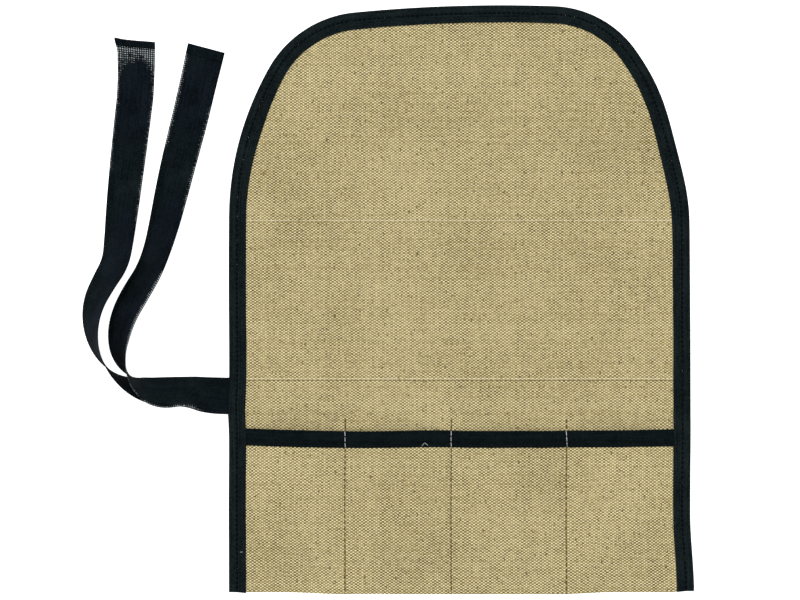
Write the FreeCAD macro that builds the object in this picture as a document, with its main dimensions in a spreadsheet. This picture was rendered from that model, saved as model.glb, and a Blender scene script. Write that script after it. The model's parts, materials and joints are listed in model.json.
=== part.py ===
"""Canvas tool roll with four pockets, a rounded cover flap and two twill tape ties.

The roll lies open and flat. +Z is up, +Y points to the rounded flap, +X to the right of a person
who stands at the pocket end. The origin is under the middle of the body, on the surface it lies on.
Lengths are millimetres and angles are degrees.
"""
import FreeCAD, Part
import math
import os

DIMENSIONS = {
    # cloth and tape
    "body_width": 324.6,
    "body_foot": -206.6,
    "canvas_thick": 0.8,
    "tape_thick": 0.4,
    "tape_width": 25.0,
    "binding_width": 12.2,
    # the fold of the cover flap
    "fold_line": 55.3,
    "fold_gap": 0.4,
    # the rounded edge of the flap, as tangent arcs from the left side to the right
    "left_shoulder_radius": 216.0,
    "left_shoulder_turn": 29.5,
    "left_corner_radius": 78.0,
    "left_corner_turn": 54.9,
    "crown_radius": 1060.0,
    "crown_turn": 7.6,
    "right_corner_radius": 73.6,
    "right_corner_turn": 51.9,
    # the pocket turned up from the foot
    "pocket_mouth": -93.3,
    "mouth_binding_depth": 11.6,
    "pocket_full_from": -175.0,
    "foot_rise": 0.3,
    "belly_rise": 5.2,
    "mouth_rise": 5.9,
    "divider_land": 1.0,
    "left_divider": -80.6,
    "middle_divider": -6.0,
    "right_divider": 75.0,
    "divider_overrun": 9.0,
    # the second layer on the back
    "back_panel_foot": -60.0,
    # seams
    "thread_width": 0.6,
    "thread_rise": 0.3,
    "side_seam_inset": 5.8,
    "upper_seam": 54.0,
    "lower_seam": -57.3,
    "mouth_seam": -103.5,
    "hem_depth": 5.5,
}

# Routes of the two ties: x and y of the middle line, height of the lower selvedge, and the tilt of
# the tape about its middle line, from 0 lying flat through 90 on edge to 180 lying turned over.
OUTER_TIE_ROUTE = [
    (-162.3, -68.6, 0.3, 0), (-176.0, -68.6, 0.3, 8), (-191.0, -67.2, 0.3, 18),
    (-208.0, -65.5, 0.3, 35), (-223.0, -63.7, 0.3, 60), (-236.0, -58.0, 0.3, 76),
    (-247.5, -48.6, 0.3, 90), (-255.8, -35.0, 0.3, 103), (-259.2, -18.0, 0.3, 119),
    (-257.4, -2.0, 0.3, 130), (-250.6, 11.5, 0.3, 137), (-244.2, 26.0, 0.3, 143),
    (-240.6, 43.0, 0.3, 149), (-237.6, 64.0, 0.3, 157), (-234.0, 93.0, 0.3, 165),
    (-230.8, 124.0, 0.3, 174), (-227.9, 151.0, 0.3, 180), (-228.4, 180.6, 0.3, 180),
]
INNER_TIE_ROUTE = [
    (-162.3, -68.6, 0.9, 0), (-176.0, -68.6, 1.1, 12), (-191.0, -66.6, 1.4, 28),
    (-206.0, -65.2, 1.6, 40), (-218.5, -63.4, 1.6, 58), (-228.5, -57.4, 1.4, 80),
    (-235.2, -48.0, 1.0, 97), (-239.3, -36.5, 0.5, 113), (-239.4, -24.0, 0.3, 125),
    (-235.8, -11.0, 0.3, 135), (-228.0, 3.0, 0.3, 141), (-218.6, 17.5, 0.3, 139),
    (-212.2, 34.0, 0.3, 141), (-207.2, 53.0, 0.3, 149), (-202.6, 74.0, 0.3, 159),
    (-197.0, 99.0, 0.3, 167), (-190.4, 126.0, 0.3, 176), (-184.2, 152.0, 0.3, 180),
    (-178.5, 175.6, 0.3, 180),
]

doc = FreeCAD.newDocument("ToolRoll")
sheet = doc.addObject("Spreadsheet::Sheet", "Dimensions")
for row, (alias, value) in enumerate(DIMENSIONS.items(), start=1):
    sheet.set(f"A{row}", alias)
    sheet.set(f"B{row}", str(value))
    sheet.setAlias(f"B{row}", alias)
doc.recompute()

nodes = []


def size(alias):
    """Return a driving dimension from the sheet as a plain number."""
    return float(sheet.get(alias))


def bind(text):
    """Turn the bare aliases in a formula into references to the sheet."""
    words = []
    for word in text.split():
        words.append(f"Dimensions.{word}" if word in DIMENSIONS else word)
    return " ".join(words)


def block(name, x, y, z, length, width, height):
    """Make a box whose corner and sides are formulas of the sheet's aliases."""
    box = doc.addObject("Part::Box", name)
    for prop, text in (("Placement.Base.x", x), ("Placement.Base.y", y), ("Placement.Base.z", z),
                       ("Length", length), ("Width", width), ("Height", height)):
        box.setExpression(prop, bind(text))
    return box


def fused(name, pieces):
    """Join several objects into one."""
    union = doc.addObject("Part::MultiFuse", name)
    union.Shapes = pieces
    return union


def cut(name, base, tool):
    """Take one object away from another."""
    result = doc.addObject("Part::Cut", name)
    result.Base = base
    result.Tool = tool
    return result


def feature(name, shape):
    """Hold a shape that no primitive or sketch can give."""
    held = doc.addObject("Part::Feature", name)
    held.Shape = shape
    return held


def node(part, label):
    """Name a finished sub-part and put it on the list to be written."""
    part.Label = label
    nodes.append(part)
    return part


# Levels of the layers, from the surface up.
CANVAS_FLOOR = "tape_thick"
CANVAS_TOP = "( tape_thick + canvas_thick )"
POCKET_TOP = "( tape_thick + 2 * canvas_thick )"
HALF = "( body_width / 2 )"
HALF_CANVAS = "( body_width / 2 - tape_thick )"
HALF_OPEN = "( body_width / 2 - binding_width )"
BODY_HEAD = "( fold_line - fold_gap / 2 )"
POCKET_CLOTH_EDGE = "( pocket_mouth - tape_thick )"


# --- the pocket turned up from the foot -------------------------------------------------------

def bay_edges():
    """Return where each pocket's arch starts and ends across the body."""
    land = size("divider_land")
    open_half = size("body_width") / 2 - size("binding_width")
    cuts = [size("left_divider"), size("middle_divider"), size("right_divider")]
    starts = [-open_half] + [place + land for place in cuts]
    ends = [place - land for place in cuts] + [open_half]
    return list(zip(starts, ends))


def arch_line(y, base, rise, reverse):
    """Return the edges of the scalloped line over the four pockets at one place along the body."""
    edges = []
    previous = None
    for start, end in bay_edges():
        foot = FreeCAD.Vector(start, y, base)
        if previous is not None:
            edges.append(Part.LineSegment(previous, foot).toShape())
        crown = FreeCAD.Vector((start + end) / 2, y, base + rise)
        previous = FreeCAD.Vector(end, y, base)
        edges.append(Part.Arc(foot, crown, previous).toShape())
    return edges[::-1] if reverse else edges


def scalloped_section(y, base, rise, thick):
    """Return the closed outline of a layer of cloth that arches over the four pockets."""
    first = bay_edges()[0][0]
    last = bay_edges()[-1][1]
    lower = arch_line(y, base, rise, False)
    upper = arch_line(y, base + thick, rise, True)
    right_end = Part.LineSegment(FreeCAD.Vector(last, y, base), FreeCAD.Vector(last, y, base + thick))
    left_end = Part.LineSegment(FreeCAD.Vector(first, y, base + thick), FreeCAD.Vector(first, y, base))
    return Part.Wire(Part.__sortEdges__(lower + [right_end.toShape()] + upper + [left_end.toShape()]))


def scalloped_cloth(stations, thick):
    """Loft a layer of cloth through stations of place, base height and rise of its arches."""
    sections = [scalloped_section(y, base, rise, thick) for y, base, rise in stations]
    return Part.makeLoft(sections, True, True)


canvas_top = size("tape_thick") + size("canvas_thick")
tape = size("tape_thick")
canvas = size("canvas_thick")
binding_foot = size("pocket_mouth") - size("mouth_binding_depth")
cloth_foot = size("body_foot") + canvas

canvas_back = node(block(
    "CanvasBack", f"- {HALF_CANVAS}", "body_foot + canvas_thick", CANVAS_FLOOR,
    f"2 * {HALF_CANVAS}", f"{BODY_HEAD} - body_foot - canvas_thick", "canvas_thick"), "canvas_back")

pocket_arches = feature("PocketArches", scalloped_cloth([
    (cloth_foot, canvas_top, size("foot_rise")),
    (size("pocket_full_from"), canvas_top, size("belly_rise")),
    (binding_foot, canvas_top + tape, size("mouth_rise")),
    (size("pocket_mouth") - tape, canvas_top + tape, size("mouth_rise"))], canvas))
lap = "0.5"
strip_width = f"{HALF_CANVAS} - {HALF_OPEN} + {lap}"
strip_length = f"{POCKET_CLOTH_EDGE} - body_foot - canvas_thick"
left_strip = block("LeftPocketStrip", f"- {HALF_CANVAS}", "body_foot + canvas_thick", CANVAS_TOP,
                   strip_width, strip_length, "canvas_thick")
right_strip = block("RightPocketStrip", f"{HALF_OPEN} - {lap}", "body_foot + canvas_thick",
                    CANVAS_TOP, strip_width, strip_length, "canvas_thick")
foot_fold = block("FootFold", f"- {HALF_CANVAS}", "body_foot", CANVAS_FLOOR,
                  f"2 * {HALF_CANVAS}", "canvas_thick", "2 * canvas_thick")
pocket_front = node(fused("PocketFront", [pocket_arches, left_strip, right_strip, foot_fold]),
                    "pocket_front")

mouth_block = feature("MouthBindingBlock", scalloped_cloth([
    (binding_foot, canvas_top, size("mouth_rise")),
    (size("pocket_mouth"), canvas_top, size("mouth_rise"))], canvas + 2 * tape))
pocket_binding = node(cut("PocketBinding", mouth_block, pocket_front), "pocket_binding")


# --- the second layer on the back ---------------------------------------------------------------

node(block("BackPanel", f"- {HALF_OPEN}", "back_panel_foot", "0", f"2 * {HALF_OPEN}",
           f"{BODY_HEAD} - back_panel_foot", "tape_thick"), "back_panel")


# --- the tape folded over both sides of the body -------------------------------------------------

def side_binding(name, x, label):
    """Make the folded tape along one side: over the pocket it lies one canvas higher."""
    low = block(name + "Low", x, "body_foot", "0", "binding_width", "pocket_mouth - body_foot",
                f"{POCKET_TOP} + tape_thick")
    high = block(name + "High", x, "pocket_mouth", "0", "binding_width",
                 f"{BODY_HEAD} - pocket_mouth", f"{CANVAS_TOP} + tape_thick")
    folded = fused(name + "Block", [low, high])
    cloth = fused(name + "Cloth", [canvas_back, pocket_front])
    return node(cut(name, folded, cloth), label)


side_binding("LeftBinding", f"- {HALF}", "binding_left")
side_binding("RightBinding", HALF_OPEN, "binding_right")


# --- the cover flap -----------------------------------------------------------------------------

def flap_arcs(inset):
    """Return centre, radius and start and end angles of the arcs round the flap, going clockwise."""
    half = size("body_width") / 2
    heading = 90.0
    place = FreeCAD.Vector(-half, size("fold_line") + size("fold_gap"), 0)
    arcs = []
    for name in ("left_shoulder", "left_corner", "crown", "right_corner"):
        radius = size(name + "_radius")
        turn = size(name + "_turn")
        arcs.append((place, heading, radius, turn))
        place = leave_arc(place, heading, radius, turn)
        heading -= turn
    last_turn = 90.0 + heading
    last_radius = (half - place.x) / (1 - math.sin(math.radians(-heading)))
    arcs.append((place, heading, last_radius, last_turn))
    return [arc_geometry(*arc, inset) for arc in arcs]


def arc_centre(place, heading, radius):
    """Return the centre of an arc that bends to the right of its heading."""
    angle = math.radians(heading - 90)
    return place + FreeCAD.Vector(math.cos(angle), math.sin(angle), 0) * radius


def leave_arc(place, heading, radius, turn):
    """Return the far end of an arc that bends to the right."""
    angle = math.radians(heading + 90 - turn)
    return arc_centre(place, heading, radius) + FreeCAD.Vector(math.cos(angle), math.sin(angle), 0) * radius


def arc_geometry(place, heading, radius, turn, inset):
    """Return the arc through three points, drawn inset from the outer edge."""
    centre = arc_centre(place, heading, radius)
    points = []
    for share in (0, 0.5, 1):
        angle = math.radians(heading + 90 - turn * share)
        points.append(centre + FreeCAD.Vector(math.cos(angle), math.sin(angle), 0) * (radius - inset))
    return Part.Arc(*points)


def flap_outline(inset):
    """Return the closed outline of the flap as lines and arcs, inset from its outer edge."""
    arcs = flap_arcs(inset)
    head = size("fold_line") + size("fold_gap") / 2
    first = arcs[0].StartPoint
    last = arcs[-1].EndPoint
    left_foot = FreeCAD.Vector(first.x, head, 0)
    right_foot = FreeCAD.Vector(last.x, head, 0)
    return [Part.LineSegment(left_foot, first)] + arcs + [
        Part.LineSegment(last, right_foot), Part.LineSegment(right_foot, left_foot)]


def flap_pad(name, insets, height, thick):
    """Pad the flap's outline, or the band between two of its outlines, at a height."""
    body = doc.addObject("PartDesign::Body", name)
    sketch = body.newObject("Sketcher::SketchObject", name + "Outline")
    plane = [item for item in body.Origin.OriginFeatures if item.Role == "XY_Plane"][0]
    sketch.AttachmentSupport = [(plane, "")]
    sketch.MapMode = "FlatFace"
    outlines = [flap_outline(inset) for inset in insets]
    if len(outlines) == 2:
        feet = [outline[-1] for outline in outlines]
        outlines = [outlines[0][:-1] + outlines[1][:-1] + [
            Part.LineSegment(feet[0].StartPoint, feet[1].StartPoint),
            Part.LineSegment(feet[0].EndPoint, feet[1].EndPoint)]]
    for outline in outlines:
        sketch.addGeometry(outline, False)
    sketch.setExpression("AttachmentOffset.Base.z", bind(height))
    pad = body.newObject("PartDesign::Pad", name + "Pad")
    pad.Profile = sketch
    pad.setExpression("Length", bind(thick))
    return body


canvas_flap = node(flap_pad("CanvasFlap", [size("tape_thick")], CANVAS_FLOOR, "canvas_thick"),
                   "canvas_flap")
flap_band = flap_pad("FlapBand", [0, size("binding_width")], "0", f"{CANVAS_TOP} + tape_thick")
node(cut("FlapBinding", flap_band, canvas_flap), "binding_flap")


# --- seams ---------------------------------------------------------------------------------------

BINDING_TOP = f"( {CANVAS_TOP} + tape_thick )"
LOW_BINDING_TOP = f"( {POCKET_TOP} + tape_thick )"


def side_thread(name, x, label):
    """Lay the seam along one side binding, with its step where the pocket ends."""
    low = block(name + "Low", x, "body_foot", LOW_BINDING_TOP, "thread_width",
                "pocket_mouth - body_foot", "thread_rise")
    step = block(name + "Step", x, "pocket_mouth", BINDING_TOP, "thread_width", "thread_width",
                 f"{LOW_BINDING_TOP} - {BINDING_TOP} + thread_rise")
    high = block(name + "High", x, "pocket_mouth", BINDING_TOP, "thread_width",
                 f"{BODY_HEAD} - pocket_mouth", "thread_rise")
    return node(fused(name, [low, step, high]), label)


side_thread("LeftThread", f"- {HALF} + side_seam_inset - thread_width / 2", "thread_side_left")
side_thread("RightThread", f"{HALF} - side_seam_inset - thread_width / 2", "thread_side_right")
seam_inset = size("side_seam_inset")
half_thread = size("thread_width") / 2
node(flap_pad("FlapThread", [seam_inset - half_thread, seam_inset + half_thread], BINDING_TOP,
              "thread_rise"), "thread_flap_edge")

mouth_thread_rise = size("thread_rise")
node(feature("MouthThread", scalloped_cloth([
    (size("mouth_seam"), canvas_top + canvas + 2 * tape, size("mouth_rise")),
    (size("mouth_seam") + size("thread_width"), canvas_top + canvas + 2 * tape, size("mouth_rise"))],
    mouth_thread_rise)), "thread_pocket_mouth")

for place, label in (("upper_seam", "thread_upper_seam"), ("lower_seam", "thread_lower_seam")):
    node(block(place + "_row", f"- {HALF_OPEN}", place, CANVAS_TOP, f"2 * {HALF_OPEN}",
               "thread_width", "thread_rise"), label)


def divider_thread(x):
    """Lay the seam between two pockets: up the pocket, over its binding and on to the canvas."""
    rise = size("thread_rise")
    cloth_top = canvas_top + canvas
    mouth = size("pocket_mouth")
    lower = [(size("body_foot") + canvas, cloth_top), (size("pocket_full_from"), cloth_top),
             (binding_foot, cloth_top + tape), (binding_foot, cloth_top + 2 * tape),
             (mouth, cloth_top + 2 * tape), (mouth, canvas_top),
             (mouth + size("divider_overrun"), canvas_top)]
    upper = [(mouth + size("divider_overrun"), canvas_top + rise), (mouth + rise, canvas_top + rise),
             (mouth + rise, cloth_top + 2 * tape + rise),
             (binding_foot - rise, cloth_top + 2 * tape + rise),
             (binding_foot - rise, cloth_top + tape + rise),
             (size("pocket_full_from"), cloth_top + rise),
             (size("body_foot") + canvas, cloth_top + rise)]
    corners = [FreeCAD.Vector(x - half_thread, y, z) for y, z in lower + upper]
    face = Part.Face(Part.makePolygon(corners + corners[:1]))
    return face.extrude(FreeCAD.Vector(size("thread_width"), 0, 0))


for count, name in enumerate(("left_divider", "middle_divider", "right_divider"), start=1):
    # The mouth seam crosses each divider seam, so the divider seam gives way to it.
    row = feature(f"DividerRow{count}", divider_thread(size(name)))
    crossing = doc.getObject("MouthThread")
    node(cut(f"DividerThread{count}", row, crossing), f"thread_divider_{count}")


# --- the two ties --------------------------------------------------------------------------------

def route_middle(stop):
    """Return the middle of the tape at one point of a route."""
    x, y, edge, tilt = stop
    lift = size("tape_width") / 2 * abs(math.sin(math.radians(tilt)))
    return FreeCAD.Vector(x, y, edge + lift + size("tape_thick") / 2)


def tie_stations(route, name):
    """Walk a route of straight runs and tangent arcs; give place, direction and tilt along it."""
    middles = [route_middle(stop) for stop in route]
    stations = [(middles[0], FreeCAD.Vector(-1, 0, 0), route[0][3])]
    edges = []
    corner_from = middles[0]
    radii = []
    for index in range(1, len(route) - 1):
        before = middles[index] - middles[index - 1]
        after = middles[index + 1] - middles[index]
        half_turn = before.getAngle(after) / 2
        reach = 0.45 * min(before.Length, after.Length)
        radii.append(reach / math.tan(half_turn))
        start = middles[index] - FreeCAD.Vector(before).normalize() * reach
        end = middles[index] + FreeCAD.Vector(after).normalize() * reach
        bisector = ((start + end) * 0.5 - middles[index]).normalize()
        depth = radii[-1] * (1 / math.cos(half_turn) - 1)
        top = middles[index] + bisector * depth
        edges += [Part.LineSegment(corner_from, start).toShape(), Part.Arc(start, top, end).toShape()]
        corner_from = end
        run_in = FreeCAD.Vector(before).normalize()
        run_out = FreeCAD.Vector(after).normalize()
        tilt = route[index][3]
        tilt_in = tilt + (route[index - 1][3] - tilt) * reach / before.Length
        tilt_out = tilt + (route[index + 1][3] - tilt) * reach / after.Length
        stations += [(start, run_in, tilt_in), (top, (run_in + run_out).normalize(), tilt),
                     (end, run_out, tilt_out)]
    last_run = (middles[-1] - middles[-2]).normalize()
    edges.append(Part.LineSegment(corner_from, middles[-1]).toShape())
    stations.append((middles[-1], last_run, route[-1][3]))
    path = Part.Wire(edges)
    print(f"{name}: length {path.Length:.1f} mm, arc radii", [round(radius, 1) for radius in radii])
    return stations, path.Length


def tape_section(place, direction, tilt):
    """Return the tape's rectangular section, square to its direction and turned by its tilt."""
    level = FreeCAD.Vector(-direction.y, direction.x, 0).normalize()
    upright = direction.cross(level).normalize()
    angle = math.radians(tilt)
    across = level * math.cos(angle) + upright * math.sin(angle)
    through = direction.cross(across).normalize()
    half_width = across * (size("tape_width") / 2)
    half_thick = through * (size("tape_thick") / 2)
    corners = [place - half_width - half_thick, place + half_width - half_thick,
               place + half_width + half_thick, place - half_width + half_thick]
    return Part.makePolygon(corners + corners[:1])


def tie(name, route, label):
    """Make a tie of tape along its route and check its volume against section times length."""
    stations, length = tie_stations(route, label)
    solid = Part.makeLoft([tape_section(*station) for station in stations], True, True)
    expected = size("tape_width") * size("tape_thick") * length
    print(f"{label}: volume {solid.Volume:.0f} mm3, section times length {expected:.0f} mm3")
    return node(feature(name, solid), label)


def hem_thread(name, route, label):
    """Lay the seam that holds the folded end of a tie."""
    end = route_middle(route[-1])
    run = (end - route_middle(route[-2])).normalize()
    angle = math.degrees(math.atan2(run.y, run.x))
    row = doc.addObject("Part::Box", name)
    row.setExpression("Length", bind("thread_width"))
    row.setExpression("Width", bind("tape_width - 2 * thread_width"))
    row.setExpression("Height", bind("thread_rise"))
    middle = end - run * size("hem_depth")
    corner = FreeCAD.Vector(0, -size("tape_width") / 2 + size("thread_width"), size("tape_thick") / 2)
    turn = FreeCAD.Rotation(FreeCAD.Vector(0, 0, 1), angle)
    row.Placement = FreeCAD.Placement(middle + turn.multVec(corner), turn)
    return node(row, label)


tie("OuterTie", OUTER_TIE_ROUTE, "tie_outer")
tie("InnerTie", INNER_TIE_ROUTE, "tie_inner")
hem_thread("OuterHem", OUTER_TIE_ROUTE, "thread_hem_outer")
hem_thread("InnerHem", INNER_TIE_ROUTE, "thread_hem_inner")


# --- check and write -----------------------------------------------------------------------------

doc.recompute()
for item in doc.Objects:
    if "Invalid" in item.State or "Error" in item.State:
        raise RuntimeError(f"{item.Name} is {item.State}")
os.makedirs("parts", exist_ok=True)
for part in nodes:
    if part.Shape.isNull() or not part.Shape.isValid():
        raise RuntimeError(f"{part.Label} has no valid shape")
    part.Shape.exportStep(f"parts/{part.Label}.step")
    print(f"{part.Label}: {len(part.Shape.Solids)} solid, {part.Shape.Volume:.0f} mm3")
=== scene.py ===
import json
import math
import bpy
import numpy as np
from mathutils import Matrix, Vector, noise


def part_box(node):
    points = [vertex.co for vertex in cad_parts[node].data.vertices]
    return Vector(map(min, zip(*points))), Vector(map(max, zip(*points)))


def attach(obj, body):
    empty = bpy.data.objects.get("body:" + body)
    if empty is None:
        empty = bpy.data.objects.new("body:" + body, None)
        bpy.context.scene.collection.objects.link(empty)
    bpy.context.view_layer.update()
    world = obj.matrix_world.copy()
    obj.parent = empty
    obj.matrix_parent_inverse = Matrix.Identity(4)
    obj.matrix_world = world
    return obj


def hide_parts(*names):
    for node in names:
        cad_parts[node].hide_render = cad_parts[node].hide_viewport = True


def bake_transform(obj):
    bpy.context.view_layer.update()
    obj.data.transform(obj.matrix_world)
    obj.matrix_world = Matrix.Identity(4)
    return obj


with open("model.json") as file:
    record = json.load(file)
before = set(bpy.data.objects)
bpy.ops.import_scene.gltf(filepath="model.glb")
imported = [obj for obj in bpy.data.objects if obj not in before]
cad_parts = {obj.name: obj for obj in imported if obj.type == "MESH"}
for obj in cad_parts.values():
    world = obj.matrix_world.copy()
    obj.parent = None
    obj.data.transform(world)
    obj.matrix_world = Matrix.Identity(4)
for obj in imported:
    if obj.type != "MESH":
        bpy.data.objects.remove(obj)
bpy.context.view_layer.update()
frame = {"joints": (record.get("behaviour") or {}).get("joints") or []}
MM = 0.001

# --- places read from the frame ---


def middle(node, axis):
    """Return the middle of a frame node along one axis."""
    low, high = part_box(node)
    return (low[axis] + high[axis]) / 2


CANVAS_LOW, CANVAS_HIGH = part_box("canvas_back")
BINDING_LOW, BINDING_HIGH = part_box("binding_left")
MOUTH_LOW, MOUTH_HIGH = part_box("pocket_binding")
BACK_LOW, BACK_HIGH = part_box("back_panel")
HALF = -BINDING_LOW[0]
FOOT = BINDING_LOW[1]
BINDING_WIDTH = BINDING_HIGH[0] - BINDING_LOW[0]
TAPE = CANVAS_LOW[2]
CLOTH = CANVAS_HIGH[2] - CANVAS_LOW[2]
CANVAS_LEVEL = CANVAS_LOW[2] + CLOTH / 2
POCKET_LEVEL = CANVAS_LEVEL + CLOTH
MOUTH_EDGE = MOUTH_HIGH[1]
MOUTH_FOOT = MOUTH_LOW[1]
FOLD = frame["joints"][0]["pos_m"][1]
UPPER_SEAM = middle("thread_upper_seam", 1)
LOWER_SEAM = middle("thread_lower_seam", 1)
MOUTH_SEAM = middle("thread_pocket_mouth", 1)
SEAM_INSET = middle("thread_side_left", 0) - BINDING_LOW[0]
DIVIDERS = [middle(f"thread_divider_{count}", 0) for count in (1, 2, 3)]
DIVIDER_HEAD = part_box("thread_divider_1")[1][1]

# --- sizes that the frame does not hold ---

TAPE_WIDTH = 25 * MM
STITCH = 3.4 * MM
LONG_STITCH = 4.15 * MM
POCKET_RISE = 4.6 * MM
MOUTH_SAG = 1.6 * MM
OUTER_HEM = 4.5 * MM
INNER_HEM = 6.6 * MM
FOLD_MIDDLE = FOOT + CLOTH
SEAM_HALF = HALF - BINDING_WIDTH + 1 * MM

# Where cloth edges, bindings and stitches lie about their lines.
CANVAS_TUCK = 3 * MM
MOUTH_TUCK = 2 * MM
MOUTH_TAPE_TUCK = 2 * MM
FOOT_OVERHANG = 0.6 * MM
FOLD_OVERRUN = 0.4 * MM
SEAM_LIFT = 0.3 * MM
UNDER_SEAM_LEVEL = 0.26 * MM
MOUTH_STITCH_SINK = 0.16 * MM
HEM_STITCH_LIFT = 0.52 * MM
DIVIDER_START = 1.6 * MM
HEAD_START = 1.2 * MM

# Flat length of each step, in mm, where a binding turns under and where a hem folds back.
TURN_STEP = 0.3
HEM_STEP = 0.6

# A tie lies a little wider than its tape, most of all at its end, and has small selvedge loops.
TIE_STEP = 0.65 * MM
TIE_SPREAD = 1.035
TIE_END_SPREAD = 0.03
PICOT_PITCH = 1.3 * MM
PICOT_SIZE = 0.16 * MM

# Radius of the thread in each seam.
EDGE_THREAD = 0.20 * MM
UNDER_THREAD = 0.12 * MM
UPPER_THREAD = 0.20 * MM
LOWER_THREAD = 0.22 * MM
MOUTH_THREAD = 0.18 * MM
DIVIDER_THREAD = 0.22 * MM
OVER_MOUTH_THREAD = 0.27 * MM
HEM_THREAD = 0.24 * MM
STRAY_THREAD = 0.15 * MM

# Third stored value on the under side of cloth, so that its weave differs from the upper side's.
HIDDEN_SIDE = 20.0

# The flap's edge from its left side to its right: radius and turn in degrees of each tangent arc.
# One more arc closes the edge on the right side.
FLAP_ARCS = [(216.0 * MM, 29.5), (78.0 * MM, 54.9), (1060.0 * MM, 7.6), (73.6 * MM, 51.9)]

# Routes of the ties: x, y and height of the lower selvedge, in metres, and tilt in degrees.
OUTER_TIE_ROUTE = [
    (-0.1623, -0.0686, 0.0003, 0), (-0.1760, -0.0684, 0.0003, 14), (-0.1910, -0.0650, 0.0003, 40),
    (-0.2080, -0.0655, 0.0003, 38), (-0.2230, -0.0637, 0.0003, 56), (-0.2360, -0.0582, 0.0003, 78),
    (-0.2476, -0.0484, 0.0003, 96), (-0.2556, -0.0350, 0.0003, 109), (-0.2586, -0.0180, 0.0003, 122),
    (-0.2562, -0.0020, 0.0003, 132), (-0.2490, 0.0120, 0.0003, 137), (-0.2410, 0.0255, 0.0003, 143),
    (-0.2388, 0.0430, 0.0003, 149), (-0.2368, 0.0640, 0.0003, 157), (-0.2337, 0.0930, 0.0003, 165),
    (-0.2303, 0.1240, 0.0003, 174), (-0.2272, 0.1510, 0.0003, 180), (-0.2276, 0.1815, 0.0003, 180),
]
INNER_TIE_ROUTE = [
    (-0.1623, -0.0686, 0.0009, 0), (-0.1760, -0.0682, 0.0011, 18), (-0.1910, -0.0646, 0.0014, 42),
    (-0.2070, -0.0662, 0.0016, 33), (-0.2185, -0.0646, 0.0016, 50), (-0.2285, -0.0580, 0.0014, 82),
    (-0.2350, -0.0480, 0.0010, 106), (-0.2388, -0.0365, 0.0005, 124), (-0.2386, -0.0240, 0.0003, 134),
    (-0.2350, -0.0110, 0.0003, 140), (-0.2276, 0.0030, 0.0003, 143), (-0.2184, 0.0175, 0.0003, 140),
    (-0.2120, 0.0340, 0.0003, 142), (-0.2070, 0.0530, 0.0003, 150), (-0.2024, 0.0740, 0.0003, 159),
    (-0.1966, 0.0990, 0.0003, 167), (-0.1898, 0.1260, 0.0003, 176), (-0.1838, 0.1520, 0.0003, 180),
    (-0.1782, 0.1760, 0.0003, 180),
]

# Where each tie's selvedges are painted pale, partly frayed and partly painted highlight where the lifted
# selvedge catches the light: start and end along it in metres, its side and how much.
OUTER_FRAYS_AND_HIGHLIGHTS = [(0.190, 0.326, 1, 0.6), (0.225, 0.318, -1, 0.8), (0.135, 0.160, -1, 0.5)]
INNER_FRAYS_AND_HIGHLIGHTS = [(0.012, 0.068, 1, 0.75), (0.020, 0.050, -1, 0.4), (0.056, 0.092, 1, 0.6),
               (0.082, 0.165, 1, 1.0), (0.190, 0.285, 1, 0.65), (0.235, 0.318, -1, 1.0)]

# Stray threads, as pairs of ends in mm: one on the left binding, then a loop on the mouth's binding.
STRAY_ENDS = [(-154.6, -178.6), (-152.3, -178.4), (-26.9, -103.6), (-24.7, -101.2),
              (-24.7, -101.2), (-22.4, -103.4)]

# --- colours ---

# The canvas's gap colour is painted shade between the threads.
CANVAS_GAP_SHADE = (0.095, 0.063, 0.010, 1)
CANVAS_WARP = (0.445, 0.353, 0.142, 1)
CANVAS_WEFT = (0.868, 0.760, 0.458, 1)
CANVAS_FLECK = (0.07, 0.045, 0.015, 1)
# Pale worn tape, also used for the painted sheen and highlight on the ties.
WORN_AND_SHEEN_TAPE = (0.56, 0.60, 0.61, 1)

# Each pair: the deepest and the brightest tone.
EDGE_TAPE_TONES = ((0.0010, 0.0022, 0.0026), (0.0150, 0.0225, 0.0245))
MOUTH_TAPE_TONES = ((0.0006, 0.0016, 0.0020), (0.0080, 0.0132, 0.0148))
TIE_TAPE_TONES = ((0.0008, 0.0020, 0.0024), (0.0085, 0.0138, 0.0158))
BLACK_THREAD_TONES = ((0.0008, 0.0018, 0.0022), (0.0120, 0.0170, 0.0185))
# Divider stitches: natural thread painted dark brown, painted shade that stands for the shadow in their
# needle holes.
DIVIDER_THREAD_SHADE_TONES = ((0.030, 0.020, 0.008), (0.110, 0.080, 0.038))
NATURAL_THREAD_TONES = ((0.74, 0.66, 0.42), (0.97, 0.91, 0.70))
PALE_THREAD_TONES = ((0.30, 0.29, 0.27), (0.76, 0.76, 0.74))

# How little black cotton reflects.
BLACK_COTTON = {"gloss": 0.045, "density": 1.25}

# --- camera and light ---

VIEW_WIDTH = 563.2 * MM
VIEW_CENTRE = (-41.9 * MM, -1.1 * MM)
LENS = 120.0
SENSOR = 36.0
SKY_COLOUR = (0.97, 0.985, 1.0, 1)
SKY_STRENGTH = 0.82
LAMP_COLOUR = (1.0, 0.985, 0.96)
LAMP_ENERGY = 1.5
LAMP_SPREAD = 24
LAMP_PLACE = (-0.25, 0.85, 1.0)
BENCH_GLOW = 0.85
BENCH_HALF = 8


def set_camera():
    """Hang the camera straight above the roll, with the flap towards the top of its view."""
    data = bpy.data.cameras.new("overhead")
    data.lens = LENS
    data.sensor_width = SENSOR
    data.clip_end = 100
    camera = bpy.data.objects.new("overhead", data)
    camera.location = (*VIEW_CENTRE, VIEW_WIDTH * LENS / SENSOR)
    bpy.context.collection.objects.link(camera)
    bpy.context.scene.camera = camera


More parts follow.
